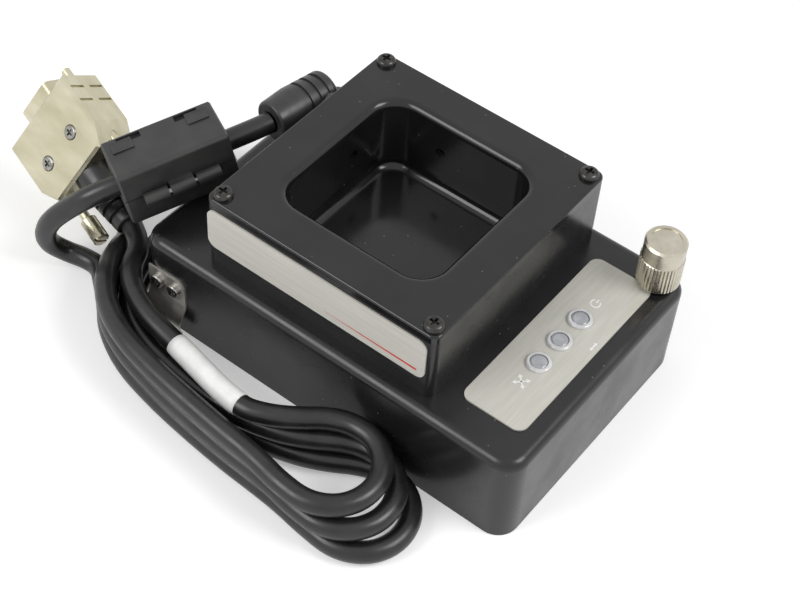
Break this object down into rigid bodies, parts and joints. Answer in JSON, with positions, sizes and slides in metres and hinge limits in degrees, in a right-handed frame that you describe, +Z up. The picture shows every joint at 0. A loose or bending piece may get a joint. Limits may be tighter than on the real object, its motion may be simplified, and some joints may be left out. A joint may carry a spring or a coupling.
{
  "type": "crossed-beam alignment fixture",
  "caption": "Flat black alignment fixture with a square light-beam well, indicator panel, thumb screw, leaf spring, and a lead with a snap ferrite and a D connector.",
  "frame": {"origin": "middle of the housing footprint, on its underside", "axes": "+X along the housing towards the indicator panel, +Y towards the back wall, +Z up"},
  "size_m": [0.1904, 0.129, 0.0571],
  "materials": {
    "housing_black": "satin black moulding with a soft sheen",
    "screw_steel": "darkened steel",
    "label_grey": "grey satin film",
    "board_green": "circuit board",
    "lamp_clear": "clear lamp lens",
    "bezel_grey": "raised clear ring",
    "part_black": "black moulded part",
    "knob_nickel": "turned nickel finish",
    "brass": "turned brass",
    "leaf_steel": "bright spring steel",
    "gland_black": "black nylon",
    "rubber_black": "soft black",
    "ferrite_plastic": "dark grey satin case",
    "ferrite_core": "sintered ferrite",
    "hood_nickel": "cast metal with a warm nickel finish",
    "cable_black": "black jacket with a soft sheen",
    "sleeve_white": "plain white sleeve"
  },
  "bodies": {
    "root": {"base_housing": "housing_black", "beam_board_back": "board_green", "beam_board_front": "board_green", "beam_board_left": "board_green", "beam_board_right": "board_green", "beam_detector_back": "lamp_clear", "beam_detector_right": "lamp_clear", "beam_emitter_front": "lamp_clear", "beam_emitter_left": "lamp_clear", "board_capacitors": "part_black", "bottom_plate": "housing_black", "bottom_plate_screws": "screw_steel", "cable_boot": "rubber_black", "cable_bundle": "cable_black", "cable_header": "part_black", "cable_lead": "cable_black", "cable_sleeve": "sleeve_white", "cable_tail": "cable_black", "connector_insert": "part_black", "connector_shell": "hood_nickel", "controller_board": "board_green", "controller_board_screws": "screw_steel", "controller_chip": "part_black", "cover_screws": "screw_steel", "ferrite_case": "ferrite_plastic", "ferrite_core_lower": "ferrite_core", "ferrite_hinge_pin": "screw_steel", "gland_body": "gland_black", "gland_cap": "gland_black", "gland_locknut": "brass", "gland_seal": "rubber_black", "hood_far": "hood_nickel", "hood_near": "hood_nickel", "hood_screws": "screw_steel", "indicator_bezels": "bezel_grey", "indicator_board": "board_green", "indicator_board_screws": "screw_steel", "indicator_lamps": "lamp_clear", "indicator_panel": "label_grey", "indicator_window_power": "lamp_clear", "indicator_window_x": "lamp_clear", "indicator_window_y": "lamp_clear", "knob_bush": "brass", "leaf_plate": "leaf_steel", "leaf_screws": "screw_steel", "nameplate": "label_grey", "tower_housing": "housing_black", "tower_screws": "screw_steel", "well_cover": "housing_black"},
    "knob_carrier": {"knob_washer": "knob_nickel"},
    "knob": {"knob_head": "knob_nickel", "knob_stud": "knob_nickel"},
    "leaf": {"leaf_tongue": "leaf_steel"},
    "ferrite_top": {"ferrite_lid": "ferrite_plastic", "ferrite_core_upper": "ferrite_core"},
    "jack_upper": {"jackscrew_upper": "hood_nickel"},
    "jack_lower": {"jackscrew_lower": "hood_nickel"}
  },
  "joints": [
    {"name": "knob_rise", "type": "slide", "parent": "root", "child": "knob_carrier", "axis": [0, 0, 1], "range_m": [0, 0.0035]},
    {"name": "knob_turn", "type": "hinge", "parent": "knob_carrier", "child": "knob", "pos_m": [0.0565, 0.036, 0.0319], "axis": [0, 0, 1], "range_deg": [0, 1800]},
    {"name": "leaf_flex", "type": "hinge", "parent": "root", "child": "leaf", "pos_m": [-0.05425, -0.04304, 0.01165], "axis": [1, 0, 0], "range_deg": [0, 6], "stiffness_Nm_per_rad": 0.05},
    {"name": "ferrite_hinge", "type": "hinge", "parent": "root", "child": "ferrite_top", "pos_m": [-0.06046, -0.02822, 0.04103], "axis": [0.465, 0.8672, 0.1779], "range_deg": [0, 100]},
    {"name": "jack_upper_turn", "type": "hinge", "parent": "root", "child": "jack_upper", "pos_m": [-0.10488, -0.01931, 0.03715], "axis": [0.9382, -0.2531, -0.236], "continuous": true},
    {"name": "jack_lower_turn", "type": "hinge", "parent": "root", "child": "jack_lower", "pos_m": [-0.11316, -0.03076, 0.01653], "axis": [0.9382, -0.2531, -0.236], "continuous": true}
  ],
  "couplings": [
    {"joint": "knob_turn", "follows": "knob_rise", "rad_per_m": 8975.9}
  ]
}
